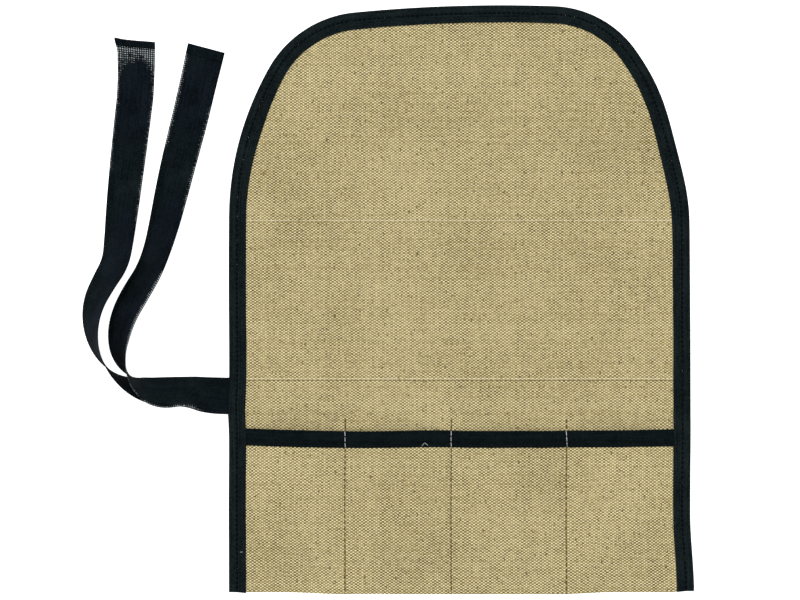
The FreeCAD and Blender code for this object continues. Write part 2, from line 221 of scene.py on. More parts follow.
def set_light():
    """Fill the studio with even white light and add one broad lamp beyond the flap."""
    bpy.context.scene.view_settings.view_transform = "Standard"
    world = bpy.data.worlds.new("studio")
    world.use_nodes = True
    background = world.node_tree.nodes["Background"]
    background.inputs["Color"].default_value = SKY_COLOUR
    background.inputs["Strength"].default_value = SKY_STRENGTH
    bpy.context.scene.world = world
    lamp = bpy.data.lights.new("broad_lamp", "SUN")
    lamp.energy = LAMP_ENERGY
    lamp.angle = math.radians(LAMP_SPREAD)
    lamp.color = LAMP_COLOUR
    holder = bpy.data.objects.new("broad_lamp", lamp)
    holder.rotation_euler = Vector(LAMP_PLACE).to_track_quat("Z", "Y").to_euler()
    bpy.context.collection.objects.link(holder)


# --- shader maths ---

class Field:
    """A value that varies over a surface. Python maths on it adds Math nodes."""

    def __init__(self, finish, socket):
        self.finish = finish
        self.socket = socket

    def maths(self, operation, *others):
        """Add one Math node with this value first."""
        return self.finish.node("Math", {"operation": operation}, dict(enumerate((self, *others))))

    def __add__(self, other):
        return self.maths("ADD", other)

    def __sub__(self, other):
        return self.maths("SUBTRACT", other)

    def __rsub__(self, other):
        return self.maths("MULTIPLY", -1) + other

    def __mul__(self, other):
        return self.maths("MULTIPLY", other)

    def __truediv__(self, other):
        return self.maths("DIVIDE", other)

    def __mod__(self, other):
        return self.maths("FLOORED_MODULO", other)

    def __pow__(self, other):
        return self.maths("POWER", other)

    def __abs__(self):
        return self.maths("ABSOLUTE")

    def whole(self):
        """Return the whole number at or below this value."""
        return self.maths("FLOOR")

    def above(self, low, high):
        """Return 0 below low, 1 above high and a smooth rise between."""
        return self.finish.node("MapRange", {"interpolation_type": "SMOOTHSTEP"},
                                {"Value": self, "From Min": low, "From Max": high})

    __radd__ = __add__
    __rmul__ = __mul__


class Finish:
    """A material, built one node at a time."""

    def __init__(self, name):
        self.material = bpy.data.materials.new(name)
        self.material.use_nodes = True
        self.tree = self.material.node_tree
        self.shader = self.tree.nodes["Principled BSDF"]

    def node(self, kind, settings, sockets, out=0):
        """Add a node: its settings first, then the value or link of each socket."""
        made = self.tree.nodes.new("ShaderNode" + kind)
        for name, value in settings.items():
            setattr(made, name, value)
        for name, value in sockets.items():
            self.plug(made.inputs[name], value)
        return Field(self, made.outputs[out])

    def plug(self, socket, value):
        """Link a field to a socket, or set the socket's own value."""
        if isinstance(value, Field):
            self.tree.links.new(value.socket, socket)
        else:
            socket.default_value = value

    def flat(self):
        """Return the two directions of the flat cloth, in metres, and the third stored value."""
        place = self.node("Attribute", {"attribute_name": "flat"}, {}, out=1)
        return [self.node("SeparateXYZ", {}, {0: place}, out=axis) for axis in range(3)]

    def stored(self, name):
        """Return a number that the mesh stores at its points."""
        return self.node("Attribute", {"attribute_name": name}, {}, out=2)

    def cloud(self, x, y, z, detail=2.0):
        """Return cloudy noise between 0 and 1 about a place."""
        place = self.node("CombineXYZ", {}, {0: x, 1: y, 2: z})
        return self.node("TexNoise", {}, {"Vector": place, "Scale": 1.0, "Detail": detail})

    def luck(self, x, y):
        """Return one even random number for each pair of whole numbers."""
        place = self.node("CombineXYZ", {}, {0: x, 1: y})
        return self.node("TexWhiteNoise", {}, {"Vector": place})

    def mix(self, share, first, second):
        """Mix two colours by a share."""
        return self.node("Mix", {"data_type": "RGBA"}, {0: share, 6: first, 7: second}, out=2)

    def surface(self, colour, roughness, height, depth, sheen=0.0, gloss=0.2, density=1.5):
        """Finish the shader with its colour, roughness and relief."""
        self.plug(self.shader.inputs["Base Color"], colour)
        self.plug(self.shader.inputs["Roughness"], roughness)
        self.shader.inputs["Sheen Weight"].default_value = sheen
        self.shader.inputs["Sheen Roughness"].default_value = 0.45
        self.shader.inputs["Specular IOR Level"].default_value = gloss
        self.shader.inputs["IOR"].default_value = density
        relief = self.node("Bump", {}, {"Height": height, "Distance": depth})
        self.plug(self.shader.inputs["Normal"], relief)
        return self.material


def painted_seam_shade(x, y):
    """Return the painted shade along the seams: painted shadow in dashes just under both cross seams and in
    the divider's needle holes, less a painted highlight just above each cross seam.
    """
    marks = 0
    for seam, depth in ((UPPER_SEAM, 0.45), (LOWER_SEAM, 0.95)):
        # Painted shadow in a dashed row just under each cross seam.
        near = 1 - abs(y - (seam - 0.60 * MM)).above(0.25 * MM, 0.75 * MM)
        # Painted highlight: a lighter row just above each cross seam.
        above = 1 - abs(y - (seam + 0.75 * MM)).above(0.30 * MM, 0.90 * MM)
        dash = abs((x + SEAM_HALF) / STITCH % 1.0 - 0.5).above(0.10, 0.34)
        marks = near * (0.40 + 0.60 * dash) * depth - above * 0.50 * depth + marks
    sewn = 1 - y.above(DIVIDER_HEAD, DIVIDER_HEAD + 0.6 * MM)
    for divider in DIVIDERS:
        # Painted shade in the divider's needle holes.
        near = 1 - abs(x - divider).above(0.30 * MM, 0.90 * MM)
        dash = abs((y - FOOT) / LONG_STITCH % 1.0 - 0.5).above(0.12, 0.32)
        marks = near * sewn * (0.25 + 0.75 * dash) + marks
    return marks


def canvas_finish():
    """Coarse plain-weave canvas: pale weft floats between darker warp, slubs, flecks and fading, with
    painted shade in the gaps between the threads and painted shade and highlight along the seams.
    """
    finish = Finish("natural_canvas")
    x, y, side = finish.flat()
    warp_pitch, weft_pitch = 1.48 * MM, 1.0 * MM
    across = x / warp_pitch + 1.6 * finish.cloud(x * 38, y * 30, side)
    along = y / weft_pitch + 1.6 * finish.cloud(x * 30, y * 38, side + 7.0)
    column, row = across.whole(), along.whole()
    in_column = abs(across - column - 0.5) * 2
    in_row = abs(along - row - 0.5) * 2
    weft_up = (column + row) % 2
    weft_dome = (1 - in_row ** 2.4) * (1 - 0.62 * in_column ** 3)
    warp_dome = (1 - in_column ** 2.4) * (1 - 0.62 * in_row ** 3)
    height = weft_up * weft_dome + (1 - weft_up) * warp_dome * 0.86
    slub = finish.cloud(column * 0.73, y * 55, side + 11.0, detail=3.0) - 0.5
    pick = finish.cloud(x * 45, row * 0.61, side + 5.0, detail=3.0) - 0.5
    warp_tone = 0.22 + 0.10 * finish.luck(column, side) + 0.50 * slub
    weft_tone = 0.87 + 0.16 * finish.luck(side + 3.0, row) + 0.55 * pick
    tone = weft_up * weft_tone + (1 - weft_up) * warp_tone
    tone = tone + 0.22 * finish.luck(column, row) - 0.11
    tone = tone + 0.34 * finish.cloud(x * 14, y * 14, side + 2.0, detail=4.0) - 0.17
    relief = height.above(0.02, 0.55)
    # Painted shade: the tone is darkened in the gaps between the threads, and painted shade and highlight
    # lie along the seams.
    tone = tone * (0.22 + 0.78 * relief) * (1 - 0.72 * painted_seam_shade(x, y))
    fleck = finish.cloud(x * 520, y * 300, side + 9.0, detail=1.0).above(0.655, 0.74)
    colour = finish.mix(tone.above(0.0, 0.55), CANVAS_GAP_SHADE, CANVAS_WARP)
    colour = finish.mix(tone.above(0.40, 1.10), colour, CANVAS_WEFT)
    colour = finish.mix(fleck * 0.75, colour, CANVAS_FLECK)
    return finish.surface(colour, 0.92 - relief * 0.08, height, 0.30 * MM, sheen=0.05)


def tape_finish(name, deep, lit, blotch, sewn=False, loose=False):
    """Black cotton twill tape: ribs along it with painted shade in their grooves, a diagonal twill, and
    painted shade at the needle holes and along the seam where it is sewn.

    A loose tie has pale selvedge loops, fluff, worn threads and painted sheen and highlight: pale dots on
    the end below its hem and along its lifted selvedges.
    """
    finish = Finish(name)
    along, across, side = finish.flat()
    rib_pitch, pick_pitch = 0.95 * MM, 0.62 * MM
    ribs = across / rib_pitch
    rib = ribs.whole()
    picks = along / pick_pitch + rib * 0.5
    pick = picks.whole()
    in_rib = abs(ribs - rib - 0.5) * 2
    in_pick = abs(picks - pick - 0.5) * 2
    height = (1 - in_rib ** 2) * (1 - 0.5 * in_pick ** 2)
    cloud = finish.cloud(along * 60, across * 60, side, detail=3.0)
    streak = finish.cloud(along * 30, across * 900, side + 4.0)
    # Painted shade: the tone falls in the grooves between the ribs, following their height.
    tone = 0.42 + 0.34 * height + 0.20 * finish.luck(rib, side) + 0.40 * finish.luck(rib, pick) - 0.30
    tone = tone + blotch * (cloud - 0.5) + 0.55 * (streak - 0.5)
    if sewn:
        # Painted shade at the needle holes and along the seam's groove.
        tone = tone * (1 - 0.95 * tape_seam_shade(along, across))
    colour = finish.mix(tone.above(0.0, 1.3), (*deep, 1), (*lit, 1))
    if loose:
        bluish = finish.cloud(along * 16, across * 20, side + 6.0).above(0.45, 0.63)
        navy = (lit[0] * 0.95, lit[1] * 0.86, lit[2] * 1.35, 1)
        colour = finish.mix(bluish * 0.55, colour, finish.mix(tone.above(0.0, 1.3), (*deep, 1), navy))
        # Pale dots of wear, lint and painted sheen.
        colour = finish.mix(tape_wear_and_sheen(finish, along, across) * 0.9, colour, WORN_AND_SHEEN_TAPE)
    return finish.surface(colour, 0.92 - height * 0.06, height, 0.12 * MM, 0.006, **BLACK_COTTON)


def tape_seam_shade(along, across):
    """Return how much painted shade darkens the sewn tape: at its needle holes and in a groove along its
    seam.
    """
    hole = abs(along / STITCH % 1.0 - 0.5).above(0.22, 0.36)
    row = abs(abs(across - BINDING_WIDTH) - SEAM_INSET)
    return hole * (1 - row.above(0.45 * MM, 1.05 * MM)) + 0.30 * (1 - row.above(0.2 * MM, 1.0 * MM))


def tape_wear_and_sheen(finish, along, across):
    """Return how pale a loose tape is: dotted lines along it where it is worn and where painted sheen and
    highlight stand for light on its end and its lifted selvedges, and bits of fluff.
    """
    line_count, dot_pitch = 17, 1.5 * MM
    lines = across / (TAPE_WIDTH / line_count)
    line = lines.whole()
    dots = along / dot_pitch + 0.3 * finish.luck(line, 2.0)
    dot = (1 - abs(lines - line - 0.5) * 2) * (1 - abs(dots % 1.0 - 0.5) * 2)
    patchy = finish.luck(line, dots.whole()) + finish.luck(line, 5.0)
    patchy = patchy + finish.cloud(along * 150, across * 90, 5.0)
    # The stored value holds lint, wear and painted sheen.
    worn_and_sheen = (finish.stored("lint") * 1.7 - 0.5 * patchy).above(0.0, 1.1)
    rim = abs(across - TAPE_WIDTH / 2).above(TAPE_WIDTH / 2 - 0.35 * MM, TAPE_WIDTH / 2 - 0.05 * MM)
    fluff = finish.cloud(along * 500, across * 500, 8.0).above(0.78, 0.82)
    return dot.above(0.22, 0.62) * worn_and_sheen * (1 - rim) + rim * worn_and_sheen * 0.25 + fluff * 0.35


def thread_finish(name, deep, lit, sheen=0.1, gloss=0.2, density=1.5):
    """Sewing thread of three strands twisted together."""
    finish = Finish(name)
    along, around, number = finish.flat()
    strands, twist_pitch = 3, 0.55 * MM
    twist = (around * strands / (2 * math.pi) + along / twist_pitch) % 1.0
    strand = 1 - (abs(twist - 0.5) * 2) ** 2
    fuzz = finish.cloud(along * 3000, around, number)
    # Painted shade: the tone falls in the grooves between the strands, following their twist.
    tone = strand * 0.7 + (fuzz - 0.5) * 0.5 + 0.3 * (finish.luck(number, 1.0) - 0.5)
    colour = finish.mix(tone.above(0.0, 0.9), (*deep, 1), (*lit, 1))
    return finish.surface(colour, 0.85 - strand * 0.1, strand, 0.08 * MM, sheen, gloss, density)


def bench_finish():
    """Plain white bench."""
    finish = Finish("white_bench")
    place = finish.node("TexCoord", {}, {}, out=3)
    grain = finish.node("TexNoise", {}, {"Vector": place, "Scale": 3.0})
    colour = finish.mix(grain, (0.94, 0.94, 0.94, 1), (0.96, 0.96, 0.96, 1))
    finish.shader.inputs["Emission Color"].default_value = (1, 1, 1, 1)
    finish.shader.inputs["Emission Strength"].default_value = BENCH_GLOW
    return finish.surface(colour, 0.9, grain, 0.01 * MM)


# --- meshes ---

def smooth_step(value, low, high):
    """Return 0 below low, 1 above high and a smooth rise between."""
    share = np.clip((value - low) / (high - low), 0, 1)
    return share * share * (3 - 2 * share)


def bump(value, width):
    """Return 1 at 0 and a bell-shaped fall to each side."""
    return np.exp(-(value / width) ** 2)


def rumple(x, y, patch, layer):
    """Return gentle noise between -1 and 1 with patches of one size."""
    x, y = np.broadcast_arrays(x, y)
    values = [noise.noise(Vector((a / patch, b / patch, layer))) for a, b in zip(x.flat, y.flat)]
    return np.array(values).reshape(x.shape)


def foot_droop(x):
    """Return how far the roll's foot hangs below its flat place, less at its bound corners."""
    middle_part = smooth_step(x, -125 * MM, -82 * MM) * (1 - smooth_step(x, 72 * MM, 108 * MM))
    corners = 0.75 * MM * smooth_step(-x, 0.148, 0.158) + 1.2 * MM * smooth_step(x, 0.145, 0.158)
    return 1.45 * MM * middle_part - corners + 0.12 * MM * rumple(x, 0, 30 * MM, 15.5)


def lay(x, y, z):
    """Settle flat cloth on the bench: it waves a little, puckers at its seams, flares at its right foot."""
    x, y, z = np.broadcast_arrays(x, y, z)
    calm = 0.12 + 0.88 * smooth_step(abs(y - FOLD), 4 * MM, 60 * MM)
    wave = 0.36 * MM * (1 + rumple(x, y, 95 * MM, 1.5)) + 0.16 * MM * (1 + rumple(x, y, 34 * MM, 4.5))
    edge = smooth_step(abs(x), HALF - 60 * MM, HALF) * (1 + rumple(x, y, 46 * MM, 8.5))
    pucker = 1 + np.sin(x / (1.9 * MM) + 5 * rumple(x, y, 30 * MM, 2.5))
    for seam in (UPPER_SEAM, LOWER_SEAM):
        wave = wave + 0.10 * MM * pucker * np.exp(-abs(y - seam) / (5 * MM))
    flare = 2.6 * MM * smooth_step(-y, 152 * MM, -FOOT) - 3.4 * MM * bump(y - 108 * MM, 36 * MM)
    pull = 0.9 * MM * bump(y + 78 * MM, 14 * MM) * smooth_step(-x, 90 * MM, HALF)
    tug = 0.5 * MM * rumple(x * 0, y, 60 * MM, 6.5) - pull + flare * smooth_step(x, 60 * MM, 155 * MM)
    low = y - foot_droop(x) * smooth_step(-y, 120 * MM, -FOOT)
    return np.stack([x + tug, low, z + (wave + 0.4 * MM * edge) * calm], axis=-1)


def make_mesh(name, points, faces, flat, finish, lint=None):
    """Make a smooth-shaded mesh that stores its flat place, and its lint and painted sheen, at its points.
    """
    mesh = bpy.data.meshes.new(name)
    mesh.from_pydata(points.tolist(), [], faces)
    mesh.attributes.new("flat", "FLOAT_VECTOR", "POINT").data.foreach_set("vector", flat.ravel())
    if lint is not None:
        mesh.attributes.new("lint", "FLOAT", "POINT").data.foreach_set("value", lint.ravel())
    mesh.shade_smooth()
    mesh.materials.append(finish)
    made = bpy.data.objects.new(name, mesh)
    bpy.context.collection.objects.link(made)
    return made


def cloth(name, points, flat, thick, finish, lint=None):
    """Make a closed layer of cloth about a grid of points, with its thickness and rims."""
    rows, columns = points.shape[:2]
    normal = np.cross(np.gradient(points, axis=1), np.gradient(points, axis=0))
    normal = normal / np.maximum(np.linalg.norm(normal, axis=-1, keepdims=True), 1e-12)
    outer = (points + normal * thick / 2).reshape(-1, 3)
    inner = (points - normal * thick / 2).reshape(-1, 3)
    count = rows * columns
    index = np.arange(count).reshape(rows, columns)
    corners = [index[:-1, :-1], index[:-1, 1:], index[1:, 1:], index[1:, :-1]]
    face = np.stack(corners, axis=-1).reshape(-1, 4)
    rim = np.concatenate([index[0, :], index[1:, -1], index[-1, -2::-1], index[-2:0:-1, 0]])
    after = np.roll(rim, -1)
    sides = np.stack([after, rim, rim + count, after + count], axis=-1)
    faces = np.concatenate([face, face[:, ::-1] + count, sides]).tolist()
    under = np.repeat([0.0, HIDDEN_SIDE], count)
    place = np.column_stack([np.tile(flat.reshape(-1, 2), (2, 1)), under])
    doubled = None if lint is None else np.tile(lint.ravel(), 2)
    return make_mesh(name, np.concatenate([outer, inner]), faces, place, finish, doubled)


def spaced(start, end, coarse, fine, marks, reach):
    """Return places from start to end, close together near the marks."""
    places = [start]
    while places[-1] < end:
        near = min(abs(places[-1] - mark) for mark in marks)
        places.append(places[-1] + (fine if near < reach else coarse))
    places[-1] = end
    return np.array(places)


# --- the roll's outline ---

def direction(degrees):
    """Return the unit vector at an angle from +X."""
    angle = math.radians(degrees)
    return np.array([math.cos(angle), math.sin(angle)])


def turn_about(place, heading, radius, turned):
    """Return a place on an arc that bends right."""
    centre = place + direction(heading - 90) * radius
    return centre + direction(heading + 90 - turned) * radius


class EdgeWalk:
    """A walk round the roll's edge, from its left foot over the flap to its right foot."""

    def __init__(self, step):
        self.step = step
        self.places, self.outward = [], []
        self.here, self.heading = np.array([-HALF, FOOT - FOOT_OVERHANG]), 90.0
        self.straight(FOLD + FOLD_OVERRUN - self.here[1])
        for radius, turn in FLAP_ARCS:
            self.arc(radius, turn)
        across = 1 - math.sin(math.radians(-self.heading))
        self.arc((HALF - self.here[0]) / across, 90 + self.heading)
        self.straight(self.here[1] - FOOT + FOOT_OVERHANG)
        self.places, self.outward = np.array(self.places), np.array(self.outward)
        steps = np.linalg.norm(np.diff(self.places, axis=0), axis=1)
        self.length = np.concatenate([[0], np.cumsum(steps)])

    def straight(self, length):
        """Walk straight on."""
        for share in np.arange(0, length, self.step) / length:
            self.places.append(self.here + direction(self.heading) * length * share)
            self.outward.append(direction(self.heading + 90))
        self.here = self.here + direction(self.heading) * length

    def arc(self, radius, turn):
        """Walk round an arc that bends right."""
        for turned in np.arange(0, turn, math.degrees(self.step / radius)):
            self.places.append(turn_about(self.here, self.heading, radius, turned))
            self.outward.append(direction(self.heading - turned + 90))
        self.here = turn_about(self.here, self.heading, radius, turn)
        self.heading -= turn

    def inset(self, depth):
        """Return the places at a depth inside the edge."""
        return self.places - self.outward * depth


# --- the canvas ---

def canvas_relief(x, y):
    """Return the height of the main canvas about its level: a lined band and sunken seams."""
    band = smooth_step(y, LOWER_SEAM, LOWER_SEAM + 4 * MM)
    band = band * (1 - smooth_step(y, UPPER_SEAM - 4 * MM, UPPER_SEAM))
    band = band * smooth_step(HALF - abs(x), BINDING_WIDTH, BINDING_WIDTH + 8 * MM)
    from_seam = np.minimum(abs(y - UPPER_SEAM), abs(y - LOWER_SEAM))
    return band * np.exp(-from_seam / (9 * MM)) * 0.35 * MM - 0.26 * MM * bump(from_seam, 0.8 * MM)


def canvas_top(x, y):
    """Return the level of the main canvas's upper face."""
    return CANVAS_HIGH[2] + canvas_relief(x, y)


def canvas_places():
    """Return the flat places of the main canvas: straight rows, then the rounded flap."""
    climb_height, flap_side = 148, 146 * MM
    rows = spaced(FOLD_MIDDLE, FOLD, 3 * MM, 0.8 * MM, [LOWER_SEAM, UPPER_SEAM, FOLD], 5 * MM)
    across = np.linspace(0, 1, 121)
    foot_x = (across - 0.5) * 2 * (HALF - CANVAS_TUCK)
    body = np.stack(np.broadcast_arrays(foot_x[None, :], rows[:, None]), axis=-1)
    edge = EdgeWalk(0.5 * MM).inset(CANVAS_TUCK)
    edge = edge[edge[:, 1] > FOLD]
    edge[0, 1] = edge[-1, 1] = FOLD
    run = np.concatenate([[0], np.cumsum(np.linalg.norm(np.diff(edge, axis=0), axis=1))])

    def edge_at(lengths):
        """Return places on the flap's edge at these lengths from its left foot."""
        return np.stack([np.interp(lengths, run, edge[:, axis]) for axis in (0, 1)], axis=-1)

    climb = np.concatenate([np.arange(0, 8, 0.8), np.arange(8, climb_height - 1, 3), [climb_height]])
    climb = climb / climb_height
    left, right = edge_at(climb * flap_side), edge_at(run[-1] - climb * flap_side)
    top = edge_at(flap_side + across * (run[-1] - 2 * flap_side))
    foot = body[-1]
    u, v = across[None, :, None], climb[:, None, None]
    patch = (1 - v) * foot + v * top + (1 - u) * left[:, None] + u * right[:, None]
    patch = patch - (1 - v) * ((1 - u) * foot[0] + u * foot[-1]) - v * ((1 - u) * top[0] + u * top[-1])
    return np.concatenate([body, patch[1:]])


def make_canvas(finish):
    """Make the main canvas, body and flap in one length."""
    flat = canvas_places()
    x, y = flat[..., 0], flat[..., 1]
    return cloth("main_canvas", lay(x, y, CANVAS_LEVEL + canvas_relief(x, y)), flat, CLOTH, finish)


def make_back_panel(finish):
    """Make the second layer sewn on the back between the two seams."""
    x, y = np.meshgrid(np.linspace(BACK_LOW[0], BACK_HIGH[0], 90),
                       np.linspace(BACK_LOW[1], BACK_HIGH[1], 40))
    points = lay(x, y, (BACK_LOW[2] + BACK_HIGH[2]) / 2)
    return cloth("back_panel_cloth", points, np.stack([x, y], axis=-1), TAPE * 0.9, finish)


# --- the pocket ---

BAY_EDGES = [-HALF + BINDING_WIDTH, *DIVIDERS, HALF - BINDING_WIDTH]


def bay_arch(x):
    """Return 0 at the seams beside each pocket and 1 in the middle of it."""
    arch = 0
    for left, right in zip(BAY_EDGES[:-1], BAY_EDGES[1:]):
        share = np.clip((x - left) / (right - left) * 2 - 1, -1, 1)
        arch = arch + (1 - share ** 2) ** 0.9
    return arch


def mouth_lift(y):
    """Return how far the mouth's binding behind the pocket lifts it off the canvas."""
    return TAPE * smooth_step(y, MOUTH_FOOT - 25 * MM, MOUTH_FOOT)


def pocket_height(x, y):
    """Return the level of the pocket front: flat at its foot and seams, open at its mouth."""
    rise = smooth_step(y, FOOT + 2 * MM, FOOT + 45 * MM) * (0.86 + 0.14 * smooth_step(y, -0.15, -0.095))
    level = POCKET_LEVEL + POCKET_RISE * rise * bay_arch(x) * (1 + 0.16 * rumple(x, y, 30 * MM, 3.5))
    pucker = 1 + np.sin(y / (1.7 * MM) + 4 * rumple(x, y, 25 * MM, 5.5))
    for divider in DIVIDERS:
        level = level - 0.16 * MM * bump(x - divider, 0.9 * MM)
        level = level + 0.12 * MM * pucker * np.exp(-abs(abs(x - divider) - 3 * MM) / (2 * MM))
    return level + mouth_lift(y)


def mouth_sag(x, y):
    """Return how far the pocket's mouth droops between the bindings."""
    share = smooth_step(y, MOUTH_EDGE - 60 * MM, MOUTH_EDGE)
    rise = MOUTH_SAG * (x / HALF) ** 2 + 0.5 * MM * smooth_step(-x, 110 * MM, HALF)
    rise = rise - 0.65 * MM * bump(x + 80 * MM, 26 * MM) + 0.35 * MM * bump(x + 22 * MM, 16 * MM)
    return share * (rise + 0.3 * MM * rumple(x, 0, 40 * MM, 12.5))


def make_pocket(finish):
    """Make the pocket front, from the fold at the foot up to its mouth."""
    side = HALF - CANVAS_TUCK
    columns = spaced(-side, side, 2.6 * MM, 0.7 * MM, DIVIDERS, 4 * MM)
    rows = spaced(FOLD_MIDDLE, MOUTH_EDGE - MOUTH_TUCK, 2.6 * MM, 1.0 * MM, [MOUTH_EDGE], 14 * MM)
    grid, flat = [], []
    for degrees in range(-90, -270, -20):
        turned = math.radians(degrees)
        y = FOLD_MIDDLE + CLOTH / 2 * math.cos(turned)
        grid.append(lay(columns, y, CANVAS_LEVEL + CLOTH / 2 * (1 + math.sin(turned))))
        flat.append((columns, FOLD_MIDDLE - CLOTH / 2 * math.radians(degrees + 270)))
    for y in rows:
        grid.append(lay(columns, y + mouth_sag(columns, y), pocket_height(columns, y)))
        flat.append((columns, y))
    flat = np.array([np.stack(np.broadcast_arrays(*place), axis=-1) for place in flat])
    return cloth("pocket_cloth", np.array(grid), flat, CLOTH * 0.98, finish)


# --- bindings ---

def layers_under(y):
    """Return the level of the top of what the side binding is folded over."""
    pocket = smooth_step(-y, -MOUTH_EDGE - 14 * MM, -MOUTH_EDGE + 0.5 * MM)
    taped = smooth_step(y, MOUTH_FOOT - 8 * MM, MOUTH_FOOT + 1 * MM)
    return CANVAS_HIGH[2] + pocket * (CLOTH + mouth_lift(y) + TAPE * taped)


def stitch_dip(length):
    """Return 1 at each needle hole and 0 in the middle of each stitch."""
    return np.cos(math.pi * length / STITCH) ** 6


def stack_rows(rows):
    """Return a grid of points and a grid of flat places from rows of (points, along, across)."""
    flat = [np.stack(np.broadcast_arrays(along, across), axis=-1) for points, along, across in rows]
    return np.array([row[0] for row in rows]), np.array(flat)


def make_edge_binding(finish):
    """Make the tape folded over both sides and round the flap, sewn down near its middle."""
    walk = EdgeWalk(STITCH / 4)
    x, y, length = walk.places[:, 0], walk.places[:, 1], walk.length
    top, low = layers_under(y) + TAPE / 2, TAPE / 2 + 0.02 * MM
    dip = 0.20 * MM + 0.22 * MM * stitch_dip(length)
    wide_left = 1.3 * MM * bump(y - 120 * MM, 32 * MM) * (x < 0)
    wide_right = 0.9 * MM * bump(y - 85 * MM, 28 * MM) * (x > 0)
    wide = wide_left + wide_right
    free_edge, turn = 12.2, 1.2
    rows = []

    def add(depth, level, across):
        """Add one row of the tape at a depth inside the roll's edge."""
        depth = depth + wide * smooth_step(depth, 7 * MM, 12 * MM)
        place = walk.places - walk.outward * np.reshape(depth, (-1, 1))
        rows.append((lay(place[:, 0], place[:, 1], level), length, across))

    for inset in (free_edge, 11.4, 10.2, 9.0, 7.8, 6.9, 6.3, 5.8, 5.3, 4.7, 3.8, 2.8, 1.9, turn):
        wiggle = (inset == free_edge) * 0.16 * rumple(length, 0, 14 * MM, 7.5)
        puff = 0.30 * smooth_step(free_edge - inset, 0.0, 2.5)
        puff = puff + 0.22 * bump(inset - 3.3, 1.6) + 0.16 * bump(inset - 8.6, 1.8)
        sewn = bump(inset * MM - SEAM_INSET, 0.75 * MM)
        add((inset + wiggle) * MM, top + puff * MM - sewn * dip, BINDING_WIDTH - inset * MM)
    for number, degrees in enumerate((70, 45, 20, 0, -20, -45, -70)):
        angle = math.radians(degrees)
        level = (top + low) / 2 + (top - low) / 2 * math.sin(angle)
        add((turn - math.cos(angle)) * MM, level, BINDING_WIDTH + number * TURN_STEP * MM)
    for inset in (turn, 2.6, 4.2, 5.2, 5.8, 6.4, 8.0, 10.0, 12.0):
        sewn = bump(inset * MM - SEAM_INSET, 0.75 * MM)
        add(inset * MM, low + 0.7 * sewn * dip, BINDING_WIDTH + inset * MM)
    points, flat = stack_rows(rows)
    return cloth("edge_binding", points, flat, TAPE, finish)


def make_mouth_binding(finish):
    """Make the tape folded over the pocket's mouth."""
    end = HALF - MOUTH_TAPE_TUCK
    x = spaced(-end, end, 1.3 * MM, 0.65 * MM, DIVIDERS, 4 * MM)
    depth = MOUTH_EDGE - MOUTH_FOOT
    half, turn = CLOTH / 2 + TAPE / 2, 0.9 * MM
    rows = []

    def add(y, lift, across, fray=0.0):
        """Add one row of the tape at a lift from the pocket's middle."""
        level = pocket_height(x, np.full_like(x, min(y, MOUTH_EDGE - MOUTH_TUCK))) + lift
        rows.append((lay(x, y + mouth_sag(x, y) + fray, level), x, across))

    for share in (1.0, 0.95, 0.9, 0.86, 0.8, 0.7, 0.55, 0.4, 0.25, 0.12):
        sewn = bump(MOUTH_EDGE - share * depth - MOUTH_SEAM, 0.8 * MM)
        lift = half + 0.12 * MM * (share < 0.8) - sewn * 0.18 * MM * stitch_dip(x)
        fray = (share == 1.0) * 0.12 * MM * rumple(x, 0, 9 * MM, 9.5)
        add(MOUTH_EDGE - share * depth, lift, (1 - share) * depth, fray)
    for number, degrees in enumerate((60, 30, 0, -30, -60)):
        angle = math.radians(degrees)
        y = MOUTH_EDGE - turn + turn * math.cos(angle)
        add(y, half * math.sin(angle), depth + number * TURN_STEP * MM)
    for share in (0.12, 0.3, 0.6, 0.97):
        add(MOUTH_EDGE - share * depth, -half, depth * (1 + share))
    points, flat = stack_rows(rows)
    return cloth("mouth_binding", points, flat, TAPE, finish)


# --- thread ---

def tube_faces(start, rings, corners):
    """Return the faces of a closed tube whose points begin at one number."""
    index = start + np.arange(rings * corners).reshape(rings, corners)
    after = np.roll(index, -1, axis=1)
    side = np.stack([index[:-1], after[:-1], after[1:], index[1:]], axis=-1).reshape(-1, 4)
    return side.tolist() + [index[0, ::-1].tolist(), index[-1].tolist()]


def stitches(name, holes, finish, radius=HEM_THREAD, up=(0.0, 0.0, 1.0), pairs=False):
    """Lay one stitch of thread from each needle hole to the next, or one to each pair of holes."""
    start, end = (holes[::2], holes[1::2]) if pairs else (holes[:-1], holes[1:])
    count, corners = min(len(start), len(end)), 7
    start, run = start[:count], end[:count] - start[:count]
    rng = np.random.default_rng(count)
    up = np.array(up)
    side = np.cross(up, run)
    side = side / np.linalg.norm(side, axis=1, keepdims=True)
    slant = rng.normal(0.32, 0.10, count)[:, None] * radius
    plump = rng.normal(1.0, 0.07, count)[:, None]
    profile = [(0.03, -1.0, 0.75), (0.10, 0.1, 0.95), (0.24, 0.75, 1.0), (0.5, 0.95, 1.0),
               (0.76, 0.75, 1.0), (0.90, 0.1, 0.95), (0.97, -1.0, 0.75)]
    points, flat, faces = [], [], []
    stitch = np.linalg.norm(run, axis=1).mean()
    for share, height, girth in profile:
        line = start + run * share + up * height * radius + side * slant * (share - 0.5) * 2
        for corner in range(corners):
            angle = corner * 2 * math.pi / corners
            offset = side * math.cos(angle) + up * math.sin(angle)
            points.append(line + offset * girth * radius * plump)
            number = np.arange(count)
            flat.append(np.column_stack([(number + share) * stitch, np.full(count, angle), number]))
    size = len(profile) * corners
    for number in range(count):
        faces += tube_faces(number * size, len(profile), corners)
    points, flat = np.stack(points, axis=1), np.stack(flat, axis=1)
    return make_mesh(name, points.reshape(-1, 3), faces, flat.reshape(-1, 3), finish)


